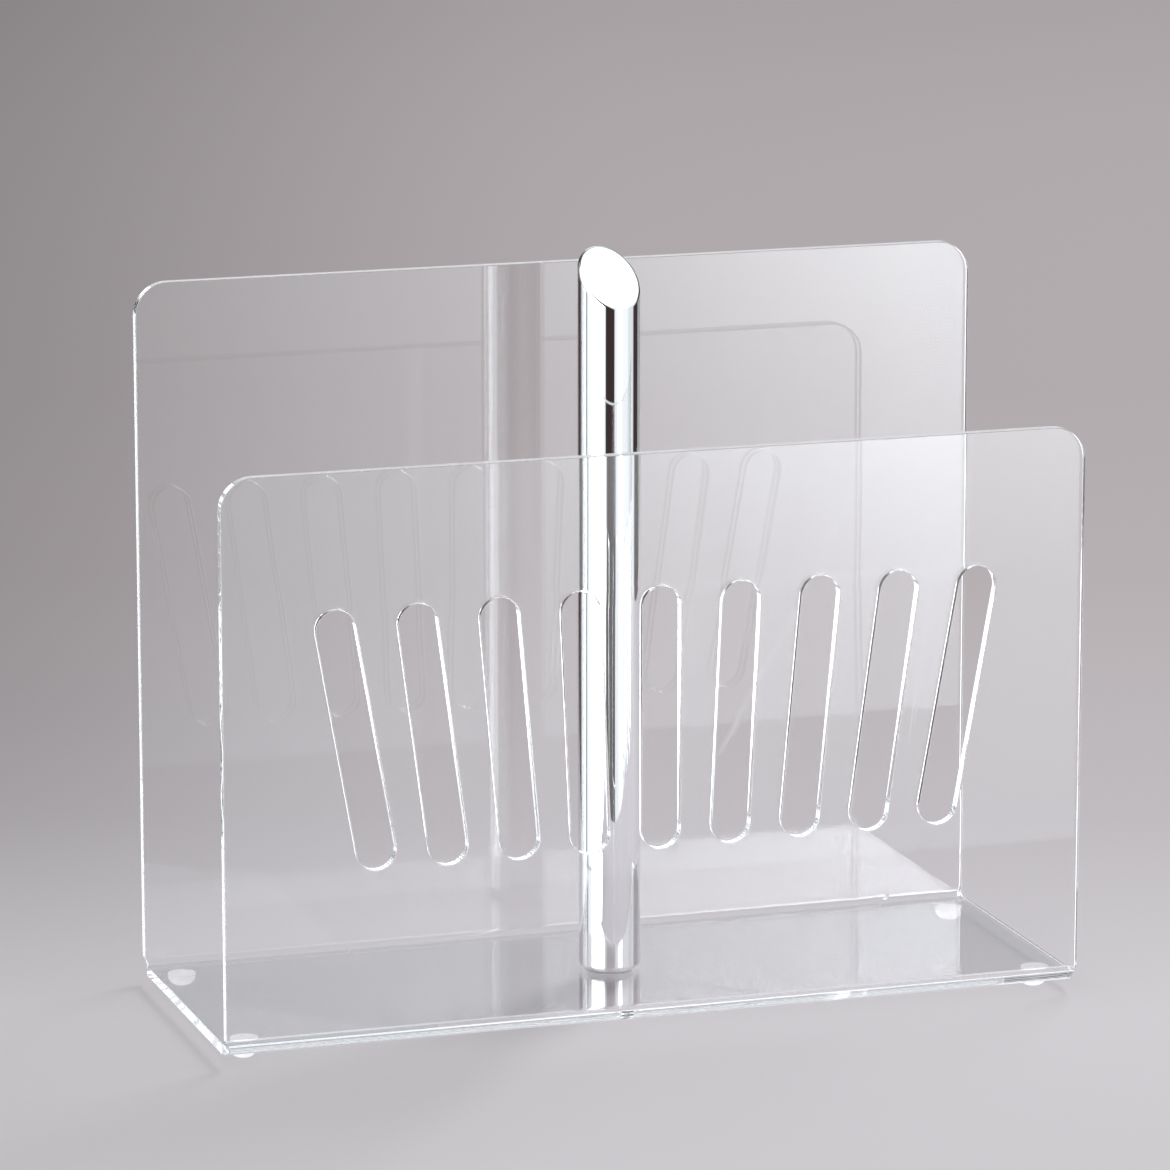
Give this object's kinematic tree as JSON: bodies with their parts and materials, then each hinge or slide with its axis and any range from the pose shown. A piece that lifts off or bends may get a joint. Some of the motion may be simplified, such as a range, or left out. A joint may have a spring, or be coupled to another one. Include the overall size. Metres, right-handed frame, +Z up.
{
  "type": "magazine rack",
  "caption": "Clear sheet folded into a low front panel, a base and a taller back panel, holding magazines upright on either side of a slant-topped chromed carrying post.",
  "frame": {"origin": "on the floor, under the middle of the base: the centre of the footprint", "axes": "+X along the rack, +Y from the front panel to the back panel, +Z up along the post"},
  "size_m": [0.4, 0.15, 0.3417],
  "materials": {
    "clear_acrylic": "clear, polished faces and edges",
    "chrome": "mirror chrome plating",
    "screw_steel": "plain zinc-plated steel",
    "soft_disc": "translucent soft plastic film",
    "clear_bumper": "clear soft moulded bumper, slightly milky"
  },
  "bodies": {
    "root": {"bent_sheet": "clear_acrylic", "post_tube": "chrome", "post_cap": "chrome", "post_foot": "chrome", "seat_disc": "soft_disc", "fixing_screw": "screw_steel", "foot_front_left": "clear_bumper", "foot_front_right": "clear_bumper", "foot_back_left": "clear_bumper", "foot_back_right": "clear_bumper"}
  },
  "joints": []
}
